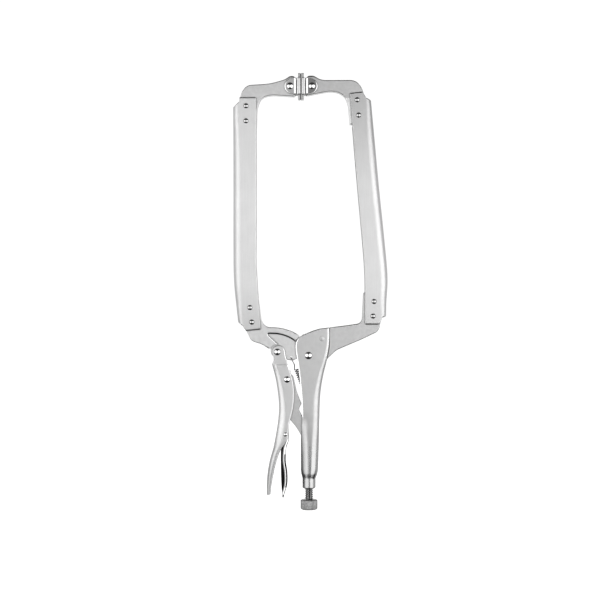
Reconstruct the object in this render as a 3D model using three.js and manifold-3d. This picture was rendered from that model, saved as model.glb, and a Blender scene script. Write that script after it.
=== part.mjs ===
// Locking C-clamp, 18 inch size, closed and locked.
// Millimetres, +Z up. The clamp stands in the XZ plane: its jaws are at the top, its handles hang down,
// and Y runs across its thickness. The origin is the centre of the fixed pad's gripping face.
import * as THREE from "three";
import { mergeVertices } from "three/addons/utils/BufferGeometryUtils.js";
import Module from "manifold-3d";

const wasm = await Module();
wasm.setup();

// Pivots in the plane of the clamp, as [x, z].
const JAW_PIVOT = [6.8, -281.9];
const LEVER_PIVOT = [-25.8, -278.2];
const LINK_PIVOT = [-15.7, -307.0];
const RELEASE_PIVOT = [-17.3, -364.5];
const STUB_RIVET = [20.9, -264.1];
const SPRING_HOLE = [-11.6, -283.8];
const SPRING_EYE = 1.2;
const SCREW_X = 7.4;

// Thickness along Y of the solid pieces.
const FORGING = 10;
const WEB = 6.4;
const LINK = 5.6;

// Bent sheet: half of the outer width along Y, thickness of the sheet, outer radius of the bends.
const ARM = { half: 7.55, wall: 2.4, radius: 5.4 };
const HANDLE = { half: 6.2, wall: 2.8, radius: 4.6 };
const LEVER = { half: 5.3, wall: 1.9, radius: 4.0 };
const RELEASE = { half: 3.1, wall: 1.2, radius: 1.8 };
const PAD = { half: 7.4, wall: 2.2, radius: 3.0 };
const CHEEK_REACH = 44; // untrimmed cheeks are wider than any side view

// Swivel pads.
const PAD_GAP = 2.1; // between the two gripping faces when closed
const PAD_RIVET_BACK = 10.4; // from a gripping face back to its rivet
const PAD_DEPTH = 16.3;
const PAD_EAR_RADIUS = 8.2;
const PAD_FACE = 17.8; // height of the folded part
const PAD_BLADE = { height: 27.6, half: 5.2 }; // face plate with its tongues above and below the fold

// Lower handle, where the sheet closes to a tube and then to the threaded neck.
const TUBE = { left: -1.0, right: 17.3, half: 6.7, corner: 6.5, wall: 2.7, top: -356, bottom: -396 };
const NECK_RADIUS = 6.45;
const NECK_TOP = -409.5;
const NECK_BOTTOM = -421.5;

const STUB_SLOT_BOTTOM = -285.8; // of the slot in the back of the handle that the fixed jaw enters
const LEVER_SHOULDER = -290.3; // where the two eyes of the hand lever meet its trough

// Screw and knob.
const SCREW_RADIUS = 4.4;
const SCREW_TIP = -384.5;
const KNOB_RADIUS = 8.9;
const KNOB_TOP = -433.0;
const KNOB_BOTTOM = -443.5;
const KNURLS = 30;

// Rivets: radius of the head, height of its dome, radius of the shank.
const PIVOT_RIVET = { head: 3.8, dome: 1.5, shank: 2.9 };
const LINK_RIVET = { head: 3.35, dome: 1.3, shank: 2.5 };
const SMALL_RIVET = { head: 2.1, dome: 0.9, shank: 1.5 };
const PAD_RIVET = { head: 3.5, dome: 1.3, shank: 2.4 };
const ARM_RIVET = { head: 2.4, dome: 0.7, shank: 1.8 };
const FLUSH_RIVET = { head: 2.8, dome: 0.25, shank: 2.2 };

const RUNNING = 0.06; // radial clearance of every rivet and screw in its hole
const HEAD_GAP = 0.1; // between a rivet's head and the sheet under it
const ROUND_SIDES = 16;
const ARC_STEP = THREE.MathUtils.degToRad(22.5);
const FAR = 100; // how far a cutting shape reaches past the piece

const STEEL = { color: 0xc9cac8, roughness: 0.34, metalness: 1.0 };
const BRIGHT = { color: 0xe2e2e0, roughness: 0.12, metalness: 1.0 };
const DARK_STEEL = { color: 0x8d8d8b, roughness: 0.42, metalness: 1.0 };

// ---------------------------------------------------------------- solids

/** Closed geometry to a solid that can be cut and joined. */
function solid(geometry) {
  const bare = geometry.clone();
  bare.deleteAttribute("normal");
  bare.deleteAttribute("uv");
  const merged = mergeVertices(bare, 1e-4);
  return new wasm.Manifold(
    new wasm.Mesh({
      numProp: 3,
      vertProperties: merged.attributes.position.array,
      triVerts: new Uint32Array(merged.index.array),
    }),
  );
}

/** Points of a closed outline. A corner is [x, z], or [x, z, radius] where it is rounded. */
function outline(corners) {
  const points = [];
  corners.forEach(([x, z, radius = 0], i) => {
    const corner = new THREE.Vector2(x, z);
    if (radius === 0) {
      points.push(corner);
      return;
    }
    const before = corners.at(i - 1);
    const after = corners[(i + 1) % corners.length];
    const back = new THREE.Vector2(before[0], before[1]).sub(corner).normalize();
    const ahead = new THREE.Vector2(after[0], after[1]).sub(corner).normalize();
    const half = Math.acos(back.dot(ahead)) / 2;
    const middle = back.clone().add(ahead).normalize();
    const centre = corner.clone().addScaledVector(middle, radius / Math.sin(half));
    const start = corner.clone().addScaledVector(back, radius / Math.tan(half)).sub(centre);
    const end = corner.clone().addScaledVector(ahead, radius / Math.tan(half)).sub(centre);
    const sweep = Math.atan2(start.cross(end), start.dot(end));
    const steps = Math.max(2, Math.ceil(Math.abs(sweep) / ARC_STEP));
    for (let k = 0; k <= steps; k += 1) {
      const turned = start.clone().rotateAround(new THREE.Vector2(), (sweep * k) / steps);
      points.push(turned.add(centre));
    }
  });
  return points;
}

/** Flat plate with an outline in the XZ plane, from y = -thickness / 2 to +thickness / 2. */
function plate(corners, thickness) {
  const shape = new THREE.Shape(outline(corners));
  const geometry = new THREE.ExtrudeGeometry(shape, { depth: thickness, bevelEnabled: false });
  geometry.rotateX(Math.PI / 2);
  geometry.translate(0, thickness / 2, 0);
  return solid(geometry);
}

/** Round bar along Y through [x, z]. */
function bar(radius, length, [x, z]) {
  const geometry = new THREE.CylinderGeometry(radius, radius, length, ROUND_SIDES);
  geometry.translate(x, 0, z);
  return solid(geometry);
}

/** What a hole along Y takes away: its flat sides clear a shank of the given radius. */
function hole(shank, pivot) {
  return bar((shank + RUNNING) / Math.cos(Math.PI / ROUND_SIDES), FAR, pivot);
}

/** Box from one corner to the other. */
function box(low, high) {
  const size = high.map((value, i) => value - low[i]);
  const geometry = new THREE.BoxGeometry(...size);
  geometry.translate(...low.map((value, i) => value + size[i] / 2));
  return solid(geometry);
}

/** All of the space above or below a height. */
function above(z) {
  return box([-FAR, -FAR, z], [FAR, FAR, z + 5 * FAR]);
}

function below(z) {
  return box([-FAR, -FAR, z - 5 * FAR], [FAR, FAR, z]);
}

/** Closed skin through level rings of points that all have the same count, with flat ends. */
function loft(levels) {
  const rising = levels[0][0].z < levels.at(-1)[0].z ? levels : levels.toReversed();
  const clockwise = THREE.ShapeUtils.isClockWise(rising[0]);
  const rings = clockwise ? rising.map((ring) => ring.toReversed()) : rising;
  const count = rings[0].length;
  const index = [];
  for (let r = 0; r + 1 < rings.length; r += 1) {
    for (let i = 0; i < count; i += 1) {
      const a = r * count + i;
      const b = r * count + ((i + 1) % count);
      index.push(a, b, b + count, a, b + count, a + count);
    }
  }
  const flat = rings[0].map((point) => new THREE.Vector2(point.x, point.y));
  const last = (rings.length - 1) * count;
  for (const [a, b, c] of THREE.ShapeUtils.triangulateShape(flat, [])) {
    index.push(a, c, b, last + a, last + b, last + c);
  }
  const geometry = new THREE.BufferGeometry().setFromPoints(rings.flat());
  geometry.setIndex(index);
  return solid(geometry);
}

/**
 * Section of a bent-sheet channel: the back lies on u = 0 and the two cheeks reach to u = reach.
 * Its points run round the outside and then back along the inside.
 */
function channelSection({ half, wall, radius }, reach) {
  const bend = (bendRadius, from, sign) => {
    const steps = 3;
    const points = [];
    for (let k = 0; k <= steps; k += 1) {
      const angle = from + (sign * (Math.PI / 2) * k) / steps;
      points.push([radius + bendRadius * Math.cos(angle), bendRadius * Math.sin(angle)]);
    }
    return points;
  };
  const level = half - radius;
  const lower = ([u, v]) => [u, v - level];
  const upper = ([u, v]) => [u, v + level];
  return [
    [reach, -half],
    ...bend(radius, -Math.PI / 2, -1).map(lower),
    ...bend(radius, Math.PI, -1).map(upper),
    [reach, half],
    [reach, half - wall],
    ...bend(radius - wall, Math.PI / 2, 1).map(upper),
    ...bend(radius - wall, Math.PI, 1).map(lower),
    [reach, wall - half],
  ];
}

/**
 * Bent-sheet channel whose back follows a smooth line through the points [x, z], listed downwards.
 * The cheeks reach towards +X where side is 1 and towards -X where it is -1.
 */
function channel(sheet, backLine, side, steps) {
  const line = new THREE.SplineCurve(backLine.map(([x, z]) => new THREE.Vector2(x, z)));
  const section = channelSection(sheet, CHEEK_REACH);
  return loft(
    line.getPoints(steps).map(({ x, y: z }) =>
      section.map(([u, v]) => new THREE.Vector3(x + side * u, v, z)),
    ),
  );
}

/** Rivet along Y with a domed head on each side of a stack that is 2 * half thick. */
function rivet(pivot, half, { head, dome, shank }) {
  const steps = 2;
  const under = half + HEAD_GAP;
  const cap = [];
  for (let k = 0; k <= steps; k += 1) {
    const angle = (Math.PI / 2) * (k / steps);
    cap.push(new THREE.Vector2(head * Math.sin(angle), under + dome * Math.cos(angle)));
  }
  cap[0].x = 0;
  const flipped = cap.map(({ x, y }) => new THREE.Vector2(x, -y));
  const profile = [
    ...flipped,
    new THREE.Vector2(shank, -under),
    new THREE.Vector2(shank, under),
    ...cap.toReversed(),
  ];
  const geometry = new THREE.LatheGeometry(profile, ROUND_SIDES);
  geometry.translate(pivot[0], 0, pivot[1]);
  return solid(geometry);
}

// ---------------------------------------------------------------- jaws

const FIXED_TIP = [
  [4.6, -9.9, 2.2],
  [4.6, 11.3, 3.6],
  [12.2, 11.3, 5],
  [20, 6.5, 16],
  [57.4, 6.4, 7],
  [62.6, -2.6, 12],
  [65.6, -12.5],
  [67.2, -42.5],
  [53, -42.5, 1.5],
  [50.4, -38.5, 8],
  [48.0, -18, 8],
  [44.6, -10.4, 8],
  [33, -6.2, 24],
  [22, -7.2, 40],
];
const MOVABLE_TIP = [
  [-6.7, -11, 2.2],
  [-6.7, 10.1, 3.4],
  [-13, 10.1, 5],
  [-18, 6.7, 18],
  [-34, 2.7, 50],
  [-57, 1.3, 5],
  [-63, -5.4, 7],
  [-65.6, -14],
  [-65.6, -43],
  [-49, -43, 1.5],
  [-46, -37.5, 8],
  [-45.9, -18.5, 6],
  [-37, -9.4, 10],
  [-28, -9.4, 40],
];

const ARM_RIVETS = {
  fixed: [[57.7, -14.6], [59.2, -30.6], [75.3, -225.4], [74.3, -240.6]],
  movable: [[-58.6, -20.9], [-58.6, -36.6], [-54.4, -231.7], [-52.5, -246.9]],
};

/** Forged jaw tip with holes for its pad's rivet and its two arm rivets. */
function jawTip(corners, padRivet, armRivets) {
  let tip = plate(corners, FORGING).subtract(hole(PAD_RIVET.shank, padRivet));
  for (const place of armRivets) {
    tip = tip.subtract(hole(ARM_RIVET.shank, place));
  }
  return tip;
}

/** Channel of an arm, trimmed to its side view and drilled for its four rivets. */
function armChannel(backLine, side, sideView, rivets) {
  let arm = channel(ARM, backLine, side, 8).intersect(plate(sideView, FAR));
  for (const place of rivets) {
    arm = arm.subtract(hole(ARM_RIVET.shank, place));
  }
  return arm;
}

function fixedArm() {
  const backLine = [
    [69.9, 0],
    [75.8, -61.7],
    [80.0, -108.8],
    [84.7, -161.1],
    [88.3, -200],
    [87.2, -228],
    [86.9, -256],
  ];
  const sideView = [
    [50.0, -7.2],
    [62.8, -5.8],
    [66.6, -12.8],
    [75, -13.8],
    [95, -60],
    [95, -241.6],
    [82.5, -242.4],
    [80.0, -249.5],
    [65.9, -249.5],
    [65.9, -196, 60],
    [63.8, -166, 80],
    [57, -94, 120],
    [50.6, -18, 40],
  ];
  return armChannel(backLine, -1, sideView, ARM_RIVETS.fixed);
}

function movableArm() {
  const backLine = [
    [-71.1, 0],
    [-71.1, -90],
    [-71.1, -172],
    [-70.1, -203],
    [-67.9, -225],
    [-63.6, -262],
  ];
  const sideView = [
    [-48.6, -11.8],
    [-64.3, -11.8],
    [-64.9, -17.8],
    [-72, -22.4],
    [-90, -60],
    [-90, -248.9],
    [-64.6, -248.9],
    [-61, -251],
    [-57.6, -256.3],
    [-43.3, -254.7],
    [-47.9, -189, 90],
    [-48.2, -150, 60],
  ];
  return armChannel(backLine, 1, sideView, ARM_RIVETS.movable);
}

function fixedJawBase() {
  const forging = [
    [29.2, -252.5],
    [47, -250.3, 60],
    [62.6, -248, 6],
    [64.3, -216, 1.5],
    [81.6, -216, 1.5],
    [82.2, -240, 14],
    [78.6, -257, 10],
    [62, -265.3, 60],
    [36, -276.4, 16],
    [26.4, -285.6],
    [28.4, -277],
    [29.2, -268],
  ];
  const tang = [
    [32, -254.2],
    [16, -256.8],
    [6.2, -260.2],
    [8.4, -266.5],
    [20.6, -280],
    [20.6, -285.4],
    [28, -282],
  ];
  const hubRoom = bar(13.6, FAR, JAW_PIVOT);
  let base = plate(forging, FORGING).add(plate(tang, WEB).subtract(hubRoom));
  base = base.subtract(hole(FLUSH_RIVET.shank, STUB_RIVET));
  for (const place of ARM_RIVETS.fixed.slice(2)) {
    base = base.subtract(hole(ARM_RIVET.shank, place));
  }
  return base;
}

function movableJawBase() {
  const forging = [
    [-62.4, -221, 1.5],
    [-45.6, -221, 1.5],
    [-42.4, -246, 10],
    [-37.4, -252.2, 8],
    [-22, -252.6, 50],
    [-8, -257.4, 30],
    [-1.9, -261.6],
    [-4.2, -264.4],
    [-6.1, -267.2],
    [-13, -263.2, 30],
    [-24, -259.6, 30],
    [-36.2, -259.2, 0.7],
    [-21, -273.2],
    [-21, -282],
    [-31.8, -281],
    [-33.4, -275.9, 5],
    [-41.6, -270.4, 12],
    [-53.4, -266.6, 9],
    [-59.6, -253.5],
    [-60.4, -247],
  ];
  const web = [
    [-38, -257.6],
    [-3, -262.4],
    [1, -270.4],
    [JAW_PIVOT[0], JAW_PIVOT[1]],
    [4, -293],
    [-5.4, -285.2, 1],
    [-9.4, -287.3, 3],
    [-15.4, -286.6, 2],
    [-18.4, -282.4, 2],
    [-25.8, -285.4, 6],
    [-32.8, -281, 6],
    [-33, -273],
    [-37, -268],
  ];
  const leverRoom = bar(8.3, FAR, LEVER_PIVOT);
  const hub = bar(12.4, WEB, JAW_PIVOT);
  let base = plate(forging, FORGING).subtract(leverRoom).add(plate(web, WEB)).add(hub);
  base = base.subtract(hole(PIVOT_RIVET.shank, JAW_PIVOT));
  base = base.subtract(hole(LINK_RIVET.shank, LEVER_PIVOT));
  base = base.subtract(hole(SPRING_EYE, SPRING_HOLE));
  for (const place of ARM_RIVETS.movable.slice(2)) {
    base = base.subtract(hole(ARM_RIVET.shank, place));
  }
  return base;
}

// ---------------------------------------------------------------- pads

/** Swivel pad whose gripping face lies on x = face; side is 1 where its ears reach towards +X. */
function swivelPad(face, side) {
  const at = (depth) => face + side * depth;
  const ears = [
    [at(0), -PAD_FACE / 2],
    [at(0), PAD_FACE / 2],
    [at(3), PAD_FACE / 2, 1],
    [at(PAD_DEPTH), PAD_EAR_RADIUS, PAD_EAR_RADIUS - 0.1],
    [at(PAD_DEPTH), -PAD_EAR_RADIUS, PAD_EAR_RADIUS - 0.1],
    [at(3), -PAD_FACE / 2, 1],
  ];
  const blade = [
    [at(0), -PAD_BLADE.height / 2],
    [at(0), PAD_BLADE.height / 2],
    [at(PAD.wall), PAD_BLADE.height / 2],
    [at(PAD.wall), -PAD_BLADE.height / 2],
  ];
  return channel(PAD, [[at(0), PAD_FACE], [at(0), -PAD_FACE]], side, 2)
    .intersect(plate(ears, 2 * PAD.half))
    .add(plate(blade, 2 * PAD_BLADE.half))
    .subtract(hole(PAD_RIVET.shank, [at(PAD_RIVET_BACK), 0]));
}

// ---------------------------------------------------------------- handle

/** Rounded rectangle in the XY plane at height z, from left to right and half wide each way. */
function tubeRing(left, right, half, corner, z) {
  const steps = 4;
  const points = [];
  const middles = [
    [right - corner, half - corner],
    [left + corner, half - corner],
    [left + corner, corner - half],
    [right - corner, corner - half],
  ];
  middles.forEach(([x, y], quarter) => {
    for (let k = 0; k <= steps; k += 1) {
      const angle = (Math.PI / 2) * (quarter + k / steps);
      points.push(new THREE.Vector3(x + corner * Math.cos(angle), y + corner * Math.sin(angle), z));
    }
  });
  return points;
}

/** Lower handle: a tube that narrows to the round threaded neck, slotted towards the lever. */
function handleTube() {
  const { left, right, half, corner, wall, top, bottom } = TUBE;
  const neck = [SCREW_X - NECK_RADIUS, SCREW_X + NECK_RADIUS, NECK_RADIUS, NECK_RADIUS - 0.05];
  const skin = loft([
    tubeRing(...neck, NECK_BOTTOM),
    tubeRing(...neck, NECK_TOP),
    tubeRing(left + 0.4, right - 1.2, half, corner, bottom - 6),
    tubeRing(left, right, half, corner, bottom),
    tubeRing(left, right, half, corner, top),
  ]);
  const room = loft([
    tubeRing(left + wall, right - wall, half - wall, corner - wall, bottom - 7),
    tubeRing(left + wall, right - wall, half - wall, corner - wall, top + 1),
  ]);
  const mouth = HANDLE.half - HANDLE.wall;
  const slot = box([left - 5, -mouth, bottom - 7], [left + corner, mouth, top + 1]);
  return skin.subtract(room).subtract(slot);
}

/** Upper handle: a channel open towards the lever, with its back slotted for the fixed stub. */
function handleChannel() {
  const backLine = [
    [28.6, -246],
    [28.4, -268],
    [25.3, -285.6],
    [20.9, -303],
    [18.2, -320],
    [17.3, -336],
    [17.3, -358],
  ];
  const sideView = [
    [-1.0, -261.0, 5],
    [10, -256.4, 60],
    [28, -252.8, 0.6],
    [40, -252.8],
    [40, -358],
    [-0.9, -358],
    [0.1, -345, 40],
    [-3.6, -295, 90],
    [-6.2, -275, 30],
    [-5.6, -266.8, 6],
  ];
  const mouth = HANDLE.half - HANDLE.wall;
  const stubSlot = box([8, -mouth, STUB_SLOT_BOTTOM], [FAR, mouth, -240]);
  return channel(HANDLE, backLine, -1, 10).intersect(plate(sideView, FAR)).subtract(stubSlot);
}

function fixedHandle() {
  const boreRadius = (SCREW_RADIUS + RUNNING) / Math.cos(Math.PI / ROUND_SIDES);
  const bore = new THREE.CylinderGeometry(boreRadius, boreRadius, FAR, ROUND_SIDES);
  bore.rotateX(Math.PI / 2);
  bore.translate(SCREW_X, 0, SCREW_TIP + 4 - FAR / 2);
  const springSlot = box([13, -1.5, -349], [19, 1.5, -341.5]);
  return handleChannel()
    .add(handleTube())
    .subtract(solid(bore))
    .subtract(springSlot)
    .subtract(hole(PIVOT_RIVET.shank, JAW_PIVOT))
    .subtract(hole(FLUSH_RIVET.shank, STUB_RIVET));
}

// ---------------------------------------------------------------- lever and linkage

function handLever() {
  const backLine = [
    [-33.6, -280],
    [-29.8, -297],
    [-26.6, -311],
    [-24.0, -332],
    [-24.5, -349],
    [-28.8, -375.5],
    [-33.4, -393],
    [-36.0, -410],
    [-36.5, -428],
  ];
  const eye = 6.7;
  const [x, z] = LEVER_PIVOT;
  const sideView = [
    [x - eye, z + eye, eye - 1],
    [x + eye, z + eye, eye - 0.5],
    [-17.2, -283, 14],
    [-8.7, -309, 20],
    [-7.8, -330, 20],
    [-13.4, -353, 20],
    [-14.2, -368.4, 1.2],
    [-23.4, -381.5, 40],
    [-30.6, -404, 40],
    [-33.6, -425.6, 0.8],
    [-50, -427],
    [-50, LEVER_SHOULDER],
    [-31.3, LEVER_SHOULDER, 1.2],
    [-28.5, -286.2, 2],
  ];
  const mouth = LEVER.half - LEVER.wall;
  const eyes = plate(sideView, 2 * LEVER.half)
    .subtract(below(LEVER_SHOULDER))
    .subtract(box([-FAR, -mouth, LEVER_SHOULDER - 1], [FAR, mouth, 0]));
  const trough = channel(LEVER, backLine, 1, 12)
    .intersect(plate(sideView, FAR))
    .subtract(above(LEVER_SHOULDER));
  return eyes
    .add(trough)
    .subtract(hole(LINK_RIVET.shank, LEVER_PIVOT))
    .subtract(hole(LINK_RIVET.shank, LINK_PIVOT))
    .subtract(hole(SMALL_RIVET.shank, RELEASE_PIVOT));
}

function releaseLever() {
  const backLine = [
    [-13.4, -340],
    [-13.4, -368.5],
    [-16.2, -379],
    [-17.0, -392],
    [-16.0, -408],
    [-16.6, -420],
    [-20.0, -432],
  ];
  const sideView = [
    [-20.4, -354, 2],
    [-15, -353, 1.2],
    [-13.6, -362, 6],
    [-9, -370],
    [-9, -432],
    [-19.6, -428.9],
    [-21.5, -417, 20],
    [-22.2, -396, 40],
    [-22.0, -378, 8],
    [-20.6, -366, 8],
  ];
  const mouth = RELEASE.half - RELEASE.wall;
  const pocket = box([-FAR, -mouth, -368.6], [FAR, mouth, -340]);
  return channel(RELEASE, backLine, -1, 8)
    .intersect(plate(sideView, FAR))
    .subtract(pocket)
    .subtract(hole(SMALL_RIVET.shank, RELEASE_PIVOT));
}

function centerLink() {
  const eye = 6.0;
  const [x, z] = LINK_PIVOT;
  const sideView = [
    [x - eye - 1.2, z + eye, eye],
    [x + eye, z + eye, eye - 0.4],
    [-5.4, -319.6, 8],
    [-0.6, -332.6, 1.2],
    [-3.3, -338.4, 1.6],
    [-0.6, -344.2, 4],
    [9.6, -362, 12],
    [11.5, -379.2, 3.9],
    [3.3, -379.2, 3.9],
    [2.2, -371, 8],
    [-6, -357.4, 30],
    [-12.0, -349.9, 0.8],
    [-14.8, -336, 30],
  ];
  return plate(sideView, LINK).subtract(hole(LINK_RIVET.shank, LINK_PIVOT));
}

/** Screw with its knurled knob, turned about Z at x = SCREW_X. */
function adjustingScrew() {
  const profile = [
    [0, KNOB_BOTTOM],
    [KNOB_RADIUS - 1, KNOB_BOTTOM],
    [KNOB_RADIUS, KNOB_BOTTOM + 1],
    [KNOB_RADIUS, KNOB_TOP - 1],
    [KNOB_RADIUS - 1, KNOB_TOP],
    [SCREW_RADIUS, KNOB_TOP],
    [SCREW_RADIUS, SCREW_TIP - 1],
    [SCREW_RADIUS - 1, SCREW_TIP],
    [0, SCREW_TIP],
  ];
  const sides = 2 * KNURLS;
  const geometry = new THREE.LatheGeometry(profile.map(([r, z]) => new THREE.Vector2(r, z)), sides);
  const place = geometry.attributes.position;
  for (let i = 0; i < place.count; i += 1) {
    const radius = Math.hypot(place.getX(i), place.getZ(i));
    const turn = Math.round((Math.atan2(place.getZ(i), place.getX(i)) / (2 * Math.PI)) * sides);
    const groove = radius > SCREW_RADIUS + 1 && turn % 2 !== 0 ? 1 - 0.35 / radius : 1;
    place.setX(i, place.getX(i) * groove);
    place.setZ(i, place.getZ(i) * groove);
  }
  geometry.rotateX(Math.PI / 2);
  geometry.translate(SCREW_X, 0, 0);
  return geometry;
}

/** Space that the coil spring takes up, with the wire hook at each end. */
function jawSpring() {
  const wire = 0.55;
  const coil = 2.8;
  const top = new THREE.Vector3(-5.8, 0, -296.2);
  const bottom = new THREE.Vector3(9.4, 0, -336.6);
  const axis = bottom.clone().sub(top);
  const body = new THREE.CylinderGeometry(coil, coil, axis.length(), 14);
  body.applyQuaternion(
    new THREE.Quaternion().setFromUnitVectors(new THREE.Vector3(0, 1, 0), axis.clone().normalize()),
  );
  body.translate(...top.clone().add(bottom).multiplyScalar(0.5).toArray());
  const [holeX, holeZ] = SPRING_HOLE;
  const hook = [
    [-5.0, -0.2, -298],
    [-7.4, -2.4, -293],
    [-10.0, -4.2, -288],
    [holeX, -4.0, holeZ],
    [holeX, -2, holeZ],
    [holeX, 3.6, holeZ],
  ];
  const tail = [
    [8.6, 0, -334.6],
    [11.2, 0, -341],
    [13.6, 0, -344.8],
    [16.4, 0, -345.6],
  ];
  return solid(body).add(wireAlong(hook, wire)).add(wireAlong(tail, wire));
}

/** Round wire along a smooth path through the points. */
function wireAlong(points, radius) {
  const path = new THREE.CatmullRomCurve3(points.map((point) => new THREE.Vector3(...point)));
  const section = new THREE.Shape().absarc(0, 0, radius, 0, 2 * Math.PI);
  return solid(
    new THREE.ExtrudeGeometry(section, {
      steps: 4 * points.length,
      curveSegments: 3,
      extrudePath: path,
      bevelEnabled: false,
    }),
  );
}

// ---------------------------------------------------------------- assembly

const clamp = new THREE.Group();
clamp.name = "locking_c_clamp";

/** Adds one named sub-part, from a solid or from a closed geometry, to the clamp. */
function add(name, shape, finish) {
  let geometry = shape;
  if (!shape.isBufferGeometry) {
    const mesh = shape.getMesh();
    geometry = new THREE.BufferGeometry();
    geometry.setAttribute("position", new THREE.BufferAttribute(mesh.vertProperties, 3));
    geometry.setIndex(new THREE.BufferAttribute(mesh.triVerts, 1));
    geometry.computeVertexNormals();
  }
  const mesh = new THREE.Mesh(geometry, new THREE.MeshStandardMaterial(finish));
  mesh.name = name;
  clamp.add(mesh);
}

const fixedPadRivet = [PAD_RIVET_BACK, 0];
const movablePadRivet = [-PAD_GAP - PAD_RIVET_BACK, 0];

add("fixed_handle", fixedHandle(), STEEL);
add("fixed_jaw_base", fixedJawBase(), STEEL);
add("fixed_jaw_rivet", rivet(STUB_RIVET, HANDLE.half, FLUSH_RIVET), STEEL);
add("fixed_arm_channel", fixedArm(), STEEL);
add("fixed_jaw_tip", jawTip(FIXED_TIP, fixedPadRivet, ARM_RIVETS.fixed.slice(0, 2)), STEEL);
add("movable_jaw_base", movableJawBase(), STEEL);
add("movable_arm_channel", movableArm(), STEEL);
add("movable_jaw_tip", jawTip(MOVABLE_TIP, movablePadRivet, ARM_RIVETS.movable.slice(0, 2)), STEEL);
for (const [arm, places] of Object.entries(ARM_RIVETS)) {
  places.forEach((place, i) => {
    add(`${arm}_arm_rivet_${i + 1}`, rivet(place, ARM.half, ARM_RIVET), STEEL);
  });
}
add("fixed_pad", swivelPad(0, 1), BRIGHT);
add("movable_pad", swivelPad(-PAD_GAP, -1), BRIGHT);
add("fixed_pad_rivet", rivet(fixedPadRivet, PAD.half, PAD_RIVET), BRIGHT);
add("movable_pad_rivet", rivet(movablePadRivet, PAD.half, PAD_RIVET), BRIGHT);
add("jaw_pivot_rivet", rivet(JAW_PIVOT, HANDLE.half, PIVOT_RIVET), BRIGHT);
add("hand_lever", handLever(), STEEL);
add("lever_rivet", rivet(LEVER_PIVOT, LEVER.half, LINK_RIVET), BRIGHT);
add("center_link", centerLink(), STEEL);
add("link_rivet", rivet(LINK_PIVOT, LEVER.half, LINK_RIVET), BRIGHT);
add("release_lever", releaseLever(), BRIGHT);
add("release_rivet", rivet(RELEASE_PIVOT, LEVER.half, SMALL_RIVET), BRIGHT);
add("adjusting_screw", adjustingScrew(), DARK_STEEL);
add("jaw_spring", jawSpring(), BRIGHT);

export default clamp;
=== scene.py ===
"""Locking C-clamp, closed and locked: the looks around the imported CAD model.

Outlines and sheet sizes are in millimetres, in the frame of the CAD model: X and Z lie in the plane of the
clamp and Y runs across its thickness. Everything is scaled to metres where a mesh is made.
"""

import math

import bmesh
import bpy
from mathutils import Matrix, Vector
from mathutils.geometry import tessellate_polygon


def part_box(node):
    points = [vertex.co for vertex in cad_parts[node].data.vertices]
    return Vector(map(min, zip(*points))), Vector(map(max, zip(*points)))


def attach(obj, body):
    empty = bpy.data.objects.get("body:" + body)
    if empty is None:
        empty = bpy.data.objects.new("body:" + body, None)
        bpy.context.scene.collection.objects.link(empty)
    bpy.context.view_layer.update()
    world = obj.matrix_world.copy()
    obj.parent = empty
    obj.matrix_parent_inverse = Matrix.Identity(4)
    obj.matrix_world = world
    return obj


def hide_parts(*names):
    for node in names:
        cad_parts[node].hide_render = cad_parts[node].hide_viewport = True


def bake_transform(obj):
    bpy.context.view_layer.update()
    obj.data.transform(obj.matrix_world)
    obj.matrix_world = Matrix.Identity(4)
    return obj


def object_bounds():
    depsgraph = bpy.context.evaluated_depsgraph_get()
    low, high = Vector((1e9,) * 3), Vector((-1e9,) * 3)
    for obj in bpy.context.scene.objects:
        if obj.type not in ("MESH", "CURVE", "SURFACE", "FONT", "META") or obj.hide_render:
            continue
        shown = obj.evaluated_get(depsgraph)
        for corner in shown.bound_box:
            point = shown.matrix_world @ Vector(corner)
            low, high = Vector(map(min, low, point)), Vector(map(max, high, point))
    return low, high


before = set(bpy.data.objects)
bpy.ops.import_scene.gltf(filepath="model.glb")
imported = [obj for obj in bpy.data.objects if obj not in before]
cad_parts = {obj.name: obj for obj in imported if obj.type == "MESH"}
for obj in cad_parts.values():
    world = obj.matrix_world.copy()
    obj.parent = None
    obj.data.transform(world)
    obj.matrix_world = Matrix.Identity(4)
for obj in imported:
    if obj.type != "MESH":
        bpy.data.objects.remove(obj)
CAD_LOW, CAD_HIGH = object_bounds()

MM = 0.001
ARC = math.radians(7)  # turn from one point of a rounded corner to the next
SHARP = math.radians(33)  # edges that turn more than this stay sharp
FAR = math.inf

# Half thickness along Y.
FORGING = 5.0
WEB = 3.2
LINK = 2.8

# Bent sheet: half of the outer width, thickness, and how far the bend reaches across the cheek and round
# the back, first at the ends and then half way along.
ARM = {"half": 7.55, "wall": 2.4, "bend": ((5.4, 5.0), (8.0, 7.2))}
HANDLE = {"half": 6.2, "wall": 2.8, "bend": ((3.3, 3.2), (7.4, 5.2))}
LEVER = {"half": 5.3, "wall": 1.9, "bend": ((4.4, 3.2), (6.4, 4.0))}
RELEASE = {"half": 3.1, "wall": 1.2, "bend": ((2.3, 2.3), (2.3, 2.3))}
PAD = {"half": 7.4, "wall": 2.2, "bend": ((3.2, 3.2), (3.2, 3.2))}


def centre_of(name):
    """Middle of a CAD node in the plane of the clamp, in millimetres."""
    low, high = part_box(name)
    return ((low.x + high.x) / 2 / MM, (low.z + high.z) / 2 / MM)


JAW_PIVOT = centre_of("jaw_pivot_rivet")
LEVER_PIVOT = centre_of("lever_rivet")
LINK_PIVOT = centre_of("link_rivet")
SPRING_HOLE = (-11.6, -283.8)
SCREW_X = centre_of("adjusting_screw")[0]


# ------------------------------------------------------------------ lines and outlines


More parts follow.
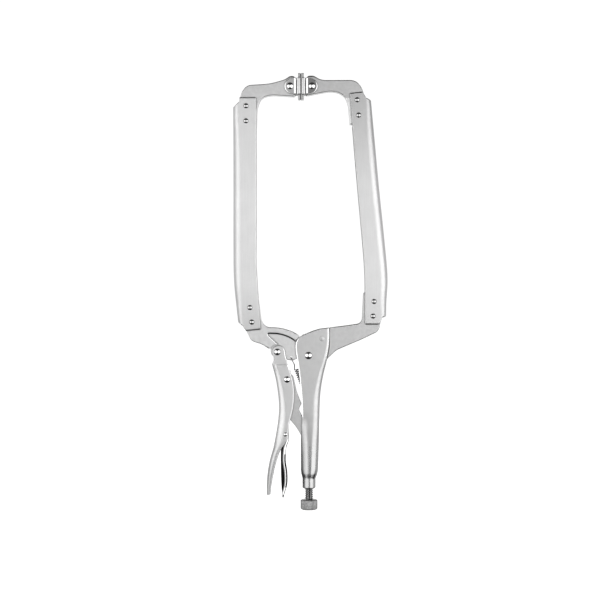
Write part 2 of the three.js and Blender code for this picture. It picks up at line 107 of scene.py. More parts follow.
def fillet(corners):
    """Points of a closed outline. A corner is (x, z), or (x, z, radius) where it is rounded."""
    points = []
    for i, corner in enumerate(corners):
        here = Vector(corner[:2])
        radius = corner[2] if len(corner) > 2 else 0
        if not radius:
            points.append(here)
            continue
        back = (Vector(corners[i - 1][:2]) - here).normalized()
        ahead = (Vector(corners[(i + 1) % len(corners)][:2]) - here).normalized()
        half = back.angle(ahead) / 2
        centre = here + (back + ahead).normalized() * radius / math.sin(half)
        start = here + back * radius / math.tan(half) - centre
        end = here + ahead * radius / math.tan(half) - centre
        sweep = math.atan2(start.x * end.y - start.y * end.x, start.dot(end))
        steps = max(2, math.ceil(abs(sweep) / ARC))
        for k in range(steps + 1):
            c, s = math.cos(sweep * k / steps), math.sin(sweep * k / steps)
            points.append(centre + Vector((start.x * c - start.y * s, start.x * s + start.y * c)))
    return points


def ring_of(points):
    """The outline without doubled points, running anticlockwise."""
    kept = [p for i, p in enumerate(points) if (p - points[i - 1]).length > 1e-3]
    area = sum(a.x * b.y - a.y * b.x for a, b in zip(kept, kept[1:] + kept[:1]))
    return kept if area > 0 else kept[::-1]


def inset(points, distances):
    """The outline moved inwards, by a distance of its own at each point."""
    moved = []
    for i, here in enumerate(points):
        before = (here - points[i - 1]).normalized()
        after = (points[(i + 1) % len(points)] - here).normalized()
        one, two = Vector((-before.y, before.x)), Vector((-after.y, after.x))
        middle = (one + two).normalized()
        moved.append(here + middle * distances[i] / max(0.4, middle.dot(one)))
    return moved


def smooth_line(points, steps=12):
    """Points along a Catmull-Rom curve through the given ones."""
    ends = [2 * Vector(points[0]) - Vector(points[1]), 2 * Vector(points[-1]) - Vector(points[-2])]
    knots = [ends[0], *map(Vector, points), ends[1]]
    line = []
    for a, b, c, d in zip(knots, knots[1:], knots[2:], knots[3:]):
        bend, twist = 2 * a - 5 * b + 4 * c - d, 3 * b - a - 3 * c + d
        for k in range(steps):
            t = k / steps
            line.append(0.5 * (2 * b + (c - a) * t + bend * t**2 + twist * t**3))
    line.append(knots[-2])
    return line


def reader(pairs):
    """Function that reads a value off straight lines between (place, value) pairs."""
    pairs = sorted(pairs)

    def read(place):
        for (p, u), (q, v) in zip(pairs, pairs[1:]):
            if place <= q:
                return u + (v - u) * (place - p) / max(q - p, 1e-9) if place > p else u
        return pairs[-1][1]

    return read


def level_end(z):
    """End of a channel that is square to Z."""
    return lambda u: z


def x_along(points):
    """x as a function of z, along a smooth line through (x, z) points."""
    return reader([(p.y, p.x) for p in smooth_line(points)])


def smoothstep(low, high, value):
    """Soft step from 0 at low to 1 at high."""
    t = min(1.0, max(0.0, (value - low) / (high - low)))
    return t * t * (3 - 2 * t)


# ------------------------------------------------------------------ solids

EDGE_STEPS = 6
HOLE_SIDES = 40


def placed(name, data):
    """New object of the scene with this data."""
    obj = bpy.data.objects.new(name, data)
    bpy.context.scene.collection.objects.link(obj)
    return obj


def solid(points, faces):
    """Mesh object from points in millimetres, with its faces turned outwards."""
    mesh = bpy.data.meshes.new("solid")
    mesh.from_pydata([Vector(p) * MM for p in points], [], faces)
    work = bmesh.new()
    work.from_mesh(mesh)
    bmesh.ops.recalc_face_normals(work, faces=work.faces)
    work.to_mesh(mesh)
    work.free()
    return placed("solid", mesh)


def combine(obj, tool, operation):
    """Joins the tool to the object, or cuts it away, for good."""
    modifier = obj.modifiers.new("combine", "BOOLEAN")
    modifier.operation = operation
    modifier.solver = "MANIFOLD"
    modifier.object = tool
    graph = bpy.context.evaluated_depsgraph_get()
    mesh = bpy.data.meshes.new_from_object(obj.evaluated_get(graph))
    obj.modifiers.clear()
    obj.data = mesh
    bpy.data.objects.remove(tool)


def circle(radius, sides):
    """Points of a circle round the origin."""
    turns = [2 * math.pi * k / sides for k in range(sides)]
    return [(radius * math.cos(a), radius * math.sin(a)) for a in turns]


def strips(rings, count):
    """Quads between each ring of points and the next."""
    return [
        (r * count + i, r * count + (i + 1) % count, (r + 1) * count + (i + 1) % count, (r + 1) * count + i)
        for r in range(rings - 1)
        for i in range(count)
    ]


def fan(first, sides, tip):
    """Triangles between a ring of points and one more point."""
    return [(first + k, first + (k + 1) % sides, tip) for k in range(sides)]


def plate(corners, half, edge, holes=(), middle=0.0):
    """Flat plate with rounded edges.

    edge says how far the rounding reaches across the face and down the side, and may depend on (x, z).
    """
    rim = ring_of(fillet(corners))
    edges = [edge(*p) if callable(edge) else edge for p in rim]
    rings = []
    for face in (-1, 1):
        for k in range(EDGE_STEPS + 1)[:: -face]:
            a = math.pi / 2 * k / EDGE_STEPS
            line = inset(rim, [across * (1 - math.sin(a)) for across, _ in edges])
            side = [middle + face * (half - deep * (1 - math.cos(a))) for _, deep in edges]
            rings.append([(p.x, y, p.y) for p, y in zip(line, side)])
    count = len(rim)
    points = [p for ring in rings for p in ring]
    faces = strips(len(rings), count)
    bores = []
    for x, z, radius in holes:
        start = len(points)
        for face in (-1, 1):
            points += [(x + a, middle + face * half, z + b) for a, b in circle(radius, HOLE_SIDES)]
        bores.append(range(start, start + HOLE_SIDES))
        faces += [tuple(start + i for i in quad) for quad in strips(2, HOLE_SIDES)]
    last = (len(rings) - 1) * count
    for loops in (
        [range(count), *bores],
        [range(last, last + count), *[range(b.stop, b.stop + len(b)) for b in bores]],
    ):
        index = [i for loop in loops for i in loop]
        flat = [[Vector((points[i][0], points[i][2], 0)) for i in loop] for loop in loops]
        faces += [tuple(index[i] for i in triangle) for triangle in tessellate_polygon(flat)]
    return solid(points, faces)


def turned(profile, centre, sides):
    """Body of revolution round Y. The profile is (radius, y) from one end on the axis to the other."""
    x, z = centre
    points = [(x + a, y, z + b) for radius, y in profile[1:-1] for a, b in circle(radius, sides)]
    rings = len(profile) - 2
    faces = strips(rings, sides)
    for (_, y), first in ((profile[0], 0), (profile[-1], (rings - 1) * sides)):
        points.append((x, y, z))
        faces += fan(first, sides, len(points) - 1)
    return solid(points, faces)


def block(low, high):
    """Sharp-edged box between two corners."""
    corners = [(x, y, z) for x in (low[0], high[0]) for y in (low[1], high[1]) for z in (low[2], high[2])]
    faces = [(0, 1, 3, 2), (4, 6, 7, 5), (0, 4, 5, 1), (2, 3, 7, 6), (0, 2, 6, 4), (1, 5, 7, 3)]
    return solid(corners, faces)


def wire(path, radius, sides=12):
    """Round wire along a line of points, with rounded ends."""
    path = [Vector(p) for p in path]
    points = []
    side = (path[1] - path[0]).orthogonal().normalized()
    for i, here in enumerate(path):
        ahead = (path[min(i + 1, len(path) - 1)] - path[max(i - 1, 0)]).normalized()
        side = (side - ahead * side.dot(ahead)).normalized()
        other = ahead.cross(side)
        size = radius * (0.5 if i in (0, len(path) - 1) else 1)
        for k in range(sides):
            a = 2 * math.pi * k / sides
            points.append(here + (side * math.cos(a) + other * math.sin(a)) * size)
    last = (len(path) - 1) * sides
    ends = [tuple(range(sides)), tuple(range(last, last + sides))]
    return solid(points, strips(len(path), sides) + ends)


# ------------------------------------------------------------------ bent sheet

BEND_STEPS = 12
FLAT_STEPS = 3
LEAST_BEND = 0.3
LEAST_FLAT = 0.15
LEAST_COLUMN = 0.2
CHEEK_MIDDLE = 8


def section(sheet, width, bend, rim, breaks=()):
    """Half of a channel's section as (outer, inner) points (u, y), and the turn of the outer skin at each.

    u runs from the back towards the free edge. breaks are distances where the ends of the channel turn.
    """
    half, wall = sheet["half"], sheet["wall"]
    across, deep = min(bend[0], 0.8 * (width - rim[0])), min(bend[1], half - LEAST_FLAT)
    across_inside, deep_inside = max(across - wall, LEAST_BEND), max(deep - wall, LEAST_BEND)
    outer, inner, turn = [], [], []
    for k in range(BEND_STEPS + 1):
        a = math.pi / 2 * k / BEND_STEPS
        c, s = math.cos(a), math.sin(a)
        outer.append((across * (1 - c), half - deep + deep * s))
        inner.append((wall + across_inside * (1 - c), half - wall - deep_inside + deep_inside * s))
        turn.append(math.atan2(s / deep, c / across))
    columns = [max(place, across + LEAST_COLUMN * (i + 1)) for i, place in enumerate(breaks)]
    start = columns[-1] if columns else across
    columns += [start + (width - rim[0] - start) * k / FLAT_STEPS for k in range(1, FLAT_STEPS + 1)]
    for u in columns:
        outer.append((u, half))
        inner.append((max(u, inner[BEND_STEPS][0]), half - wall))
        turn.append(math.pi / 2)
    for k in range(1, EDGE_STEPS + 1):
        a = math.pi / 2 * k / EDGE_STEPS
        outer.append((width - rim[0] * (1 - math.sin(a)), half - rim[1] * (1 - math.cos(a))))
        inner.append((outer[-1][0], half - wall))
        turn.append(math.pi / 2)
    return outer, inner, turn


def channel_rings(sheet, back, free, top, bottom, side, rim, end, breaks=(), step=3.0, thinner=None,
                  swell=None):
    """Rings of points round a channel, from its top end to its bottom end.

    back and free give x at z for the back and for the free edges of the cheeks. top and bottom give z at a
    distance u from the back. side is 1 where the cheeks reach towards +X. rim and end say how far the
    rounding of the free edges and of the ends reaches along the sheet and into it. thinner gives a cut in
    the half width, and swell says how far the bend has grown from its first size to its second.
    """
    height = top(0) - bottom(0)
    inside = max(6, round(height / step))
    along, deep = end
    rounding = [along * (1 - math.sin(math.pi / 2 * k / EDGE_STEPS)) for k in range(EDGE_STEPS, 0, -1)]
    rows = [(0, d) for d in rounding] + [(k / inside, None) for k in range(inside + 1)]
    rows += [(1, d) for d in reversed(rounding)]
    rings = []
    for share, depth in rows:
        fall = 0.0 if depth is None else (along - depth) / along
        drop = deep * (1 - math.sqrt(max(0.0, 1 - fall**2)))

        def level(u):
            if depth is None:
                return (top(u) - along) * (1 - share) + (bottom(u) + along) * share
            return top(u) - depth if share == 0 else bottom(u) + depth

        middle = level(CHEEK_MIDDLE)
        bulge = swell(middle) if swell else max(0.0, 1 - abs(2 * (top(0) - middle) / height - 1) ** 4)
        bend = [a + (b - a) * bulge for a, b in zip(*sheet["bend"])]
        width = abs(free(middle) - back(middle))
        for _ in range(2):
            outer, inner, turn = section(sheet, width, bend, rim, breaks)
            width = abs(free(level(width)) - back(level(width)))
        skins = ([], [])
        for skin, line in zip(skins, (outer, inner)):
            for j, (u, y) in enumerate(line):
                z = level(u)
                reach = abs(free(z) - back(z))
                if j > BEND_STEPS:
                    u = u * min(1.0, reach / width) if u < width - 1e-6 else reach
                y -= thinner(z) if thinner else 0.0
                if skin is skins[0]:
                    least = inner[j][1] + LEAST_FLAT
                    u, y = u + drop * math.cos(turn[j]), max(y - drop * math.sin(turn[j]), min(y, least))
                skin.append((back(z) + side * u, y, z))
        rings.append(closed_ring(*skins))
    return rings


def closed_ring(outer, inner):
    """Ring round both halves of a section: along the outer skin and back along the inner one."""
    front = [(x, -y, z) for x, y, z in outer]
    front_inside = [(x, -y, z) for x, y, z in inner]
    return front[::-1] + outer + inner[::-1] + front_inside


def bent_sheet(rings):
    """Solid between the outer and inner skins of the rings."""
    count = len(rings[0])
    quarter = count // 4
    faces = strips(len(rings), count)
    for first in (0, (len(rings) - 1) * count):
        for j in range(2 * quarter - 1):
            faces.append((first + j, first + j + 1, first + count - 2 - j, first + count - 1 - j))
    return solid([p for ring in rings for p in ring], faces)


# ------------------------------------------------------------------ materials


def empty_tree(owner):
    """Node tree of a material or a world, without nodes."""
    owner.use_nodes = True
    owner.node_tree.nodes.clear()
    return owner.node_tree


def node(tree, kind, **inputs):
    """New shader node. Each input is a value or another node's output."""
    made = tree.nodes.new("ShaderNode" + kind)
    for name, value in inputs.items():
        socket = made.inputs[name.replace("_", " ")]
        if isinstance(value, bpy.types.NodeSocket):
            tree.links.new(value, socket)
        else:
            socket.default_value = value
    return made


def noise(tree, scale, detail=3.0, stretch=(1, 1, 1), rough=0.5):
    """Noise that is fixed to the object; scale is in cells for each metre."""
    place = node(tree, "TexCoord").outputs["Object"]
    place = node(tree, "Mapping", Vector=place, Scale=stretch).outputs["Vector"]
    return node(tree, "TexNoise", Vector=place, Scale=scale, Detail=detail, Roughness=rough).outputs["Fac"]


def spread(tree, value, low, high, from_low=0.3, from_high=0.7):
    """The value brought from one range to another."""
    ranges = {"From_Min": from_low, "From_Max": from_high, "To_Min": low, "To_Max": high}
    return node(tree, "MapRange", Value=value, **ranges).outputs["Result"]


def occlusion(tree, distance, inside=False):
    """How open the surroundings are within a distance, or how thin the part is there."""
    shade = node(tree, "AmbientOcclusion", Distance=distance)
    shade.samples = 8
    shade.inside = shade.only_local = inside
    return shade.outputs["AO"]


def combined(tree, one, other, operation="MULTIPLY"):
    """The product of two values, or the result of another operation."""
    result = node(tree, "Math")
    result.operation = operation
    tree.links.new(one, result.inputs[0])
    tree.links.new(other, result.inputs[1])
    return result.outputs[0]


def place_along(tree, axis, source="Object"):
    """Coordinate in the frame of the piece, in metres, or another one of the texture coordinates."""
    place = node(tree, "TexCoord").outputs[source]
    return node(tree, "SeparateXYZ", Vector=place).outputs[axis]


HIGHLIGHT_REACH = 0.0011  # metres from an edge over which the painted highlight reaches
HIGHLIGHT_RANGE = (0.06, 0.5)  # how thin the part is there, from its plain surface to a sharp edge
SHADE_REACH = 0.0018  # metres from a corner over which painted shade darkens it
SHADE_RANGE = (0.4, 0.93)  # how open it is there, from the corner to the plain surface
GRAIN_SCALE = 420
PIT_DEPTH = 0.0001
DRAWN = {"scale": 900, "detail": 2.0, "stretch": (1, 1, 0.04)}  # streaks along Z
POLISH_Z = (-0.398, -0.35)  # heights over which the lower roughness gives way to the usual one


def metal(name, shade, roughness, mottle=(0.02, 60), streak=0.0, bump=(0.1, 1400), edge_highlight=1.2, corners=0.45,
          lower_roughness=None, painted_shading=()):
    """Plated steel: mottled reflectance, streaks along Z, fine pits, painted highlights on thin edges and
    painted shade in corners.

    mottle and bump are an amount and a scale. The edge factor multiplies the shade at thin edges, as a
    painted highlight, and corners multiplies it in corners, as painted shade.
    lower_roughness is the roughness towards the bottom of the clamp. The last argument lists functions that
    paint shade onto it.
    """
    material = bpy.data.materials.new(name)
    tree = empty_tree(material)
    amount, scale = mottle
    level = spread(tree, noise(tree, scale, 4.0), shade * (1 - amount), shade * (1 + amount))
    level = combined(tree, level, spread(tree, noise(tree, **DRAWN), 1 - streak, 1 + streak))
    # Painted highlight: the shade is raised where the part is thin, at its edges.
    highlit = spread(tree, occlusion(tree, HIGHLIGHT_REACH, inside=True), 1.0, edge_highlight, *HIGHLIGHT_RANGE)
    level = combined(tree, level, highlit)
    # Painted shade: the shade is lowered in corners, where little of the surroundings is open.
    corner_shade = spread(tree, occlusion(tree, SHADE_REACH), corners, 1.0, *SHADE_RANGE)
    level = combined(tree, level, corner_shade)
    # Painted shade along the part, from the listed functions.
    for darken in painted_shading:
        level = combined(tree, level, darken(tree))
    grey = node(tree, "CombineColor", Red=level, Green=level, Blue=level)

    grain = spread(tree, noise(tree, GRAIN_SCALE, detail=5.0), 0.92, 1.08)
    if lower_roughness:
        height = place_along(tree, "Z")
        rough = combined(tree, grain, spread(tree, height, lower_roughness, roughness, *POLISH_Z))
    else:
        rough = spread(tree, grain, roughness * 0.9, roughness * 1.1, 0.9, 1.1)

    strength, scale = bump
    pits = noise(tree, scale, detail=3.0, rough=0.6)
    relief = node(tree, "Bump", Strength=strength, Distance=PIT_DEPTH, Height=pits)
    shader = node(
        tree, "BsdfPrincipled", Metallic=1.0, Base_Color=grey.outputs["Color"], Roughness=rough,
        Normal=relief.outputs["Normal"],
    )
    node(tree, "OutputMaterial", Surface=shader.outputs["BSDF"])
    return material


SEAM_X = (-0.0014, 0.0046)  # where the painted shade by the tube's seam is darkest, and where it ends
SEAM_Z = (-0.385, -0.345)


def seam_shade(tree):
    """Painted shade beside the open seam of the tube, along its left."""
    across = spread(tree, place_along(tree, "X"), 0.25, 1.0, *SEAM_X)
    lower = spread(tree, place_along(tree, "Z"), 1.0, 0.0, *SEAM_Z)
    upper = spread(tree, place_along(tree, "Z"), 0.0, 1.0, *SEAM_Z)
    return combined(tree, combined(tree, across, lower), upper, "ADD")


def along_z(*pairs):
    """Function that paints shade along Z, from pairs of a height in metres and a share.

    Each two neighbouring pairs make a ramp that stays level beyond them, and the ramps are multiplied.
    """

    def darken(tree):
        level = None
        for (low, one), (high, other) in zip(pairs, pairs[1:]):
            part = spread(tree, place_along(tree, "Z"), one, other, low, high)
            level = part if level is None else combined(tree, level, part)
        return level

    return darken


# Painted shade: darker towards the ends of the arms, and towards the bottom of the tube and of the lever.
arm_ends = along_z((-0.262, 0.76), (-0.205, 0.96), (-0.12, 1.0), (-0.02, 0.94))
fixed_arm_ends = along_z((-0.262, 0.86), (-0.205, 1.0), (-0.10, 0.98), (-0.02, 0.76))
lower_tube = along_z((-0.409, 0.75), (-0.375, 0.84), (-0.33, 0.98))
lower_lever = along_z((-0.412, 0.72), (-0.355, 1.0))

SHEET = {"streak": 0.02, "edge_highlight": 1.0}
FORGING_SKIN = {"mottle": (0.05, 260), "bump": (0.30, 700), "edge_highlight": 1.15}
PAD_PLATING = {"mottle": (0.03, 300), "bump": (0.05, 1500), "corners": 0.4}

# The movable arm's sheet, with painted shade towards the arm's ends.
SATIN = metal("satin_nickel_sheet", 0.86, 0.50, painted_shading=(arm_ends,), **SHEET)
# A darker copy of the satin sheet for the fixed arm, as painted shade, with painted shade towards its ends.
SATIN_SHADED = metal("satin_nickel_fixed_sheet", 0.735, 0.43, painted_shading=(fixed_arm_ends,), **SHEET)
# The handle, with painted shade beside the tube's seam and towards the bottom of the tube.
COVER = metal(
    "satin_nickel_handle", 0.61, 0.38, (0.03, 200), 0.01, lower_roughness=0.22, painted_shading=(seam_shade, lower_tube)
)
# The lever, with painted shade towards its bottom.
GRIP = metal("satin_nickel_lever", 0.565, 0.38, (0.02, 120), 0.01, painted_shading=(lower_lever,))
FORGED = metal("satin_nickel_forging", 0.61, 0.43, **FORGING_SKIN)
# A darker copy of the forging, as painted shade, for the fixed tip, the fixed jaw base and the link.
FORGED_SHADED = metal("satin_nickel_fixed_forging", 0.50, 0.43, corners=0.7, **FORGING_SKIN)
# A lighter copy of the forging, as a painted highlight, where the fixed tip's leg shows.
FORGED_LIT = metal("satin_nickel_lit_forging", 0.70, 0.43, corners=0.85, **FORGING_SKIN)
BUTTON = metal("satin_nickel_rivet", 0.54, 0.13, (0.05, 500), bump=(0.05, 900), edge_highlight=1.0, corners=0.35)
BRIGHT = metal("bright_nickel", 0.84, 0.06, (0.01, 300), bump=(0.02, 1500), edge_highlight=1.05, corners=0.6)
PLATE = metal("bright_nickel_plate", 0.82, 0.36, edge_highlight=1.1, **PAD_PLATING)
# A darker copy of the bright nickel, as painted shade, on the flat ears of the fixed pad.
EAR_SHADED = metal("bright_nickel_shaded_ear", 0.42, 0.10, edge_highlight=1.0, **PAD_PLATING)
# A darker copy of the pad plating, as painted shade, on the tongues.
TONGUE_SHADED = metal("bright_nickel_shaded_tongue", 0.42, 0.36, edge_highlight=1.25, **PAD_PLATING)
# A lighter edge material, as a painted highlight, along free edges and on a ledge.
HIGHLIT_EDGE = metal("highlit_edge", 0.80, 0.25, (0.02, 120), corners=0.7)
# A dark edge material, as a painted shadow line, where the arms end on the forgings.
SHADOWED_END = metal("shadowed_edge", 0.16, 0.5, (0.05, 200), edge_highlight=1.0)
WIRE = metal("spring_wire", 0.2, 0.22, (0.05, 600), bump=(0.1, 1500), corners=0.25)
DARK = metal("dark_steel", 0.40, 0.22, (0.10, 500), bump=(0.25, 1800), corners=0.3)
KNURL = metal("dark_steel_knurled", 0.29, 0.36, (0.3, 600), bump=(0.35, 1500), corners=0.4)
# A near-black material, as painted shade, under the ledge, under the pads' brackets and between the pads.
SHADE_DARK = metal("shade_dark", 0.05, 0.45, (0.2, 400), bump=(0.30, 900), edge_highlight=1.0)
# A black material, as painted shade, on the release lever's cheeks and edges.
BLACK_SHADE = metal("black_shade", 0.012, 0.30, (0.2, 400), bump=(0.10, 900), edge_highlight=1.0)


# ------------------------------------------------------------------ pieces


def piece(obj, name, body, material, edges=SHARP, others=()):
    """Names the object, shades it, hides the CAD node of that name and hangs the object on its body, if it
    has one.

    others are pairs of a material and a test of a face's middle, in millimetres, and its normal.
    """
    obj.name = name
    obj.data.name = name
    obj.data.materials.clear()
    obj.data.materials.append(material)
    for index, (other, where) in enumerate(others, 1):
        obj.data.materials.append(other)
        for face in obj.data.polygons:
            if where(face.center / MM, face.normal):
                face.material_index = index
    work = bmesh.new()
    work.from_mesh(obj.data)
    bmesh.ops.remove_doubles(work, verts=work.verts, dist=1e-6)
    bmesh.ops.recalc_face_normals(work, faces=work.faces)
    for face in work.faces:
        face.smooth = True
    for line in work.edges:
        line.smooth = len(line.link_faces) == 2 and line.calc_face_angle(0) < edges
    work.to_mesh(obj.data)
    work.free()
    weighted = obj.modifiers.new("weighted", "WEIGHTED_NORMAL")
    weighted.keep_sharp = True
    weighted.weight = 80
    if body:
        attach(obj, body)
    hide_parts(name)


def within(middle, x=(-FAR, FAR), y=(0, FAR), z=(-FAR, FAR)):
    """Whether a face's middle lies in these ranges. y counts from the middle plane to either side."""
    places = (middle.x, abs(middle.y), middle.z)
    return all(low <= place < high for place, (low, high) in zip(places, (x, y, z)))


FIXED_TIP = [
    (4.6, -9.9, 2.2), (4.6, 11.3, 3.6), (12.2, 11.3, 5), (20, 6.5, 16), (56.5, 6.6, 12), (63.2, -2.2, 18),
    (66, -13, 20), (67.2, -42.5), (53, -42.5), (52.4, -40.2), (50.0, -40.2, 0.4), (48.3, -20, 25),
    (45, -10.8, 9), (38, -6.4, 14), (29, -5.2, 24), (18, -7.2, 40),
]
MOVABLE_TIP = [
    (-6.7, -11, 2.2), (-6.7, 11.0, 3.4), (-13, 10.9, 5), (-18, 7.0, 18), (-34, 2.7, 50), (-57.5, 1.2, 10),
    (-63.4, -6, 16), (-65.6, -16, 30), (-65.6, -43), (-48.6, -43.5), (-47.3, -43.5, 0.4), (-46.7, -23, 25),
    (-42.6, -12.4, 9), (-33, -9.2, 28),
]


def tip_edge(x, z):
    """Rounder at the nose that the pad straddles."""
    nose = smoothstep(20, 12, abs(x)) * smoothstep(-2, 4, z)
    return (1.1 + nose, 1.1 + nose)


def lit_leg(middle, normal):
    """Part of the fixed jaw tip's leg that shows beside the arm, painted lighter as a highlight."""
    return within(middle, x=(44, FAR), z=(-FAR, -12.6))


TIP_BORE = 2.5


def jaw_tips():
    for name, body, corners, pin in (
        ("fixed_jaw_tip", "handle", FIXED_TIP, "fixed_pad_rivet"),
        ("movable_jaw_tip", "movable_jaw", MOVABLE_TIP, "movable_pad_rivet"),
    ):
        tip = plate(corners, FORGING, tip_edge, [(*centre_of(pin), TIP_BORE)])
        if body == "handle":
            # The fixed tip is painted darker as shade, and its leg lighter as a highlight.
            piece(tip, name, body, FORGED_SHADED, others=((FORGED_LIT, lit_leg),))
        else:
            piece(tip, name, body, FORGED)


FIXED_ARM = {
    "back": [
        (70.9, 0), (76.8, -61.7), (81.2, -108.8), (86.6, -161.1), (89.8, -200), (88.4, -228), (88.0, -256),
    ],
    "free": [
        (50.0, 0), (50.0, -7.2), (50.8, -18), (57, -94), (63.5, -166), (65.7, -198), (65.9, -228),
        (65.9, -256),
    ],
    "top": [(0, -13.9), (2.6, -13.0), (4.6, -12.6), (8.3, -5.8), (21.2, -7.2), (40, -9)],
    "bottom": [(0, -241.6), (4.4, -242.4), (6.9, -249.5), (40, -249.5)],
    "breaks": (6.6, 8.4),
}
MOVABLE_ARM = {
    "back": [(-72.2, 0), (-72.0, -90), (-72.0, -172), (-71.4, -203), (-69.4, -225), (-65.1, -262)],
    "free": [
        (-48.2, 0), (-48.2, -11.8), (-47.6, -60), (-47.6, -150), (-47.5, -190), (-43.2, -254.7),
        (-42.7, -262),
    ],
    "top": [(0, -21.0), (3.0, -19.2), (6.2, -16.4), (6.8, -11.8), (40, -11.8)],
    "bottom": [(0, -248.4), (1.0, -248.9), (4.3, -251.0), (7.1, -256.3), (21.5, -254.7), (40, -252.7)],
    "breaks": (6.2, 6.9, 7.4),
}


def shadowed_end(middle, normal):
    """Ends of an arm where they lie on the forgings, painted dark as a shadow line."""
    return within(middle, x=(-82, 82), y=(FORGING, FAR)) and abs(normal.z) > 0.5 and abs(normal.x) < 0.35


def arms():
    for name, body, shape, side in (
        ("fixed_arm_channel", "handle", FIXED_ARM, -1),
        ("movable_arm_channel", "movable_jaw", MOVABLE_ARM, 1),
    ):
        rings = channel_rings(
            ARM, x_along(shape["back"]), x_along(shape["free"]), reader(shape["top"]),
            reader(shape["bottom"]), side, rim=(1.0, 1.0), end=(1.6, 2.1), breaks=shape["breaks"],
        )
        material = SATIN_SHADED if name.startswith("fixed") else SATIN
        # The arms' ends are painted dark as a shadow line.
        piece(bent_sheet(rings), name, body, material, others=((SHADOWED_END, shadowed_end),))


def fixed_jaw_base():
    forging = [
        (29.2, -252.5), (47, -250.3, 60), (62.6, -248, 6), (64.3, -216, 1.5), (81.6, -216, 1.5),
        (83.2, -242, 8), (80.6, -256.4, 9), (62, -265.3, 60), (36, -276.4, 16), (26.4, -285.6),
        (28.4, -277), (29.2, -268),
    ]
    tang = [(32, -254.2), (24, -255.2), (24, -281), (28, -281)]
    base = plate(forging, FORGING, (1.1, 1.1))
    combine(base, plate(tang, WEB, (0.1, 0.1)), "UNION")
    # Painted shade: the darker copy of the forging.
    piece(base, "fixed_jaw_base", "handle", FORGED_SHADED)


ACROSS = 9  # reaches past both sides of the clamp
EYE_ROOM = 8.3
HUB_RADIUS, HUB_EDGE = 12.4, 0.5


def movable_jaw_base():
    """Forging with a thin web below it, which turns on its hub inside the handle."""
    forging = [
        (-62.4, -221, 1.5), (-45.6, -221, 1.5), (-42.4, -246, 10), (-37.4, -252.2, 8), (-22, -252.6, 50),
        (-8, -257.4, 30), (-2.4, -261.4), (-4.9, -264.3), (-6.9, -267.6), (-13, -263.2, 30),
        (-24, -259.6, 30), (-36.2, -259.2, 0.7), (-21, -273.2, 2), (-20.6, -278), (-33.0, -279),
        (-33.4, -275.9, 5), (-41.6, -270.4, 12), (-53.4, -266.6, 9), (-59.6, -253.5), (-60.4, -247),
    ]
    web = [
        (-38, -257.6), (-3, -262.4), (1, -270.4), JAW_PIVOT, (4, -293), (-5.4, -285.2, 1),
        (-9.4, -287.3, 3), (-15.4, -286.6, 2), (-18.4, -282.4, 2), (-25.8, -285.4, 6), (-32.8, -281, 6),
        (-33, -273), (-37, -268),
    ]

    def edge(x, z):
        """Slope where the forging steps down to its web, small rounding elsewhere and none at the nose."""
        if x > -7.4:
            nose = smoothstep(-7.4, -5.4, x)
            return (1.7 - 1.45 * nose, 1.7 - 1.45 * nose)
        ledge = smoothstep(-37.5, -34.5, x) * smoothstep(-256.5, -259.0, z) * smoothstep(-277.5, -274.0, z)
        return (0.9 + 1.1 * ledge, 0.9 + 0.88 * ledge)

    base = plate(forging, FORGING, edge)
    room = [(0, -ACROSS), (EYE_ROOM, -ACROSS), (EYE_ROOM, ACROSS), (0, ACROSS)]
    combine(base, turned(room, LEVER_PIVOT, 96), "DIFFERENCE")
    combine(base, block((-36, -ACROSS, -280), (-32, ACROSS, -274.7)), "DIFFERENCE")
    combine(base, plate(web, WEB, (0.7, 1.0), [(*SPRING_HOLE, 1.2)]), "UNION")
    hub = [(0, -WEB), (HUB_RADIUS - HUB_EDGE, -WEB), (HUB_RADIUS, HUB_EDGE - WEB)]
    hub += [(radius, -y) for radius, y in reversed(hub)]
    combine(base, turned(hub, JAW_PIVOT, 120), "UNION")

    # Painted shade under the ledge and along the lower rim of the web.
    def below_ledge(middle, normal):
        ledge = within(middle, x=(-36.4, -5.4), y=(WEB - 0.1, FORGING - 0.12), z=(-268, FAR))
        rim = within(middle, x=(-20, 1), y=(0, WEB - 0.1), z=(-FAR, -281))
        return normal.z < -0.12 and (ledge or rim)

    # Painted highlight on the upper face of the ledge.
    def above_ledge(middle, normal):
        return within(middle, x=(-36, -20), z=(-275, -259)) and normal.x > 0.08 and normal.z > 0.05

    piece(
        base, "movable_jaw_base", "movable_jaw", FORGED,
        others=((SHADE_DARK, below_ledge), (HIGHLIT_EDGE, above_ledge)),
    )


HANDLE_BACK = [
    (29.1, -246), (29.1, -268), (26.5, -285.6), (22.3, -303), (19.6, -320), (18.6, -336), (18.2, -358),
    (17.4, -390),
]
HANDLE_FREE = [
    (1.2, -250), (1.2, -259.4), (-3.2, -262.2), (-6.0, -266.8), (-6.8, -272), (-6.3, -279), (-4.0, -295),
    (-1.2, -320), (0.1, -345), (0.2, -358), (0.2, -390),
]
HANDLE_TOP = [(0, -252.6), (12, -254.0), (19, -256.3), (24, -258.3), (27, -259.8), (45, -262)]
SWELL_START, SWELL_FULL = -262, -335
TUBE_START, TUBE_FULL = -340.0, -364.0
NECK_START, NECK_FULL = -404, -411
NECK_FOOT = -419.5
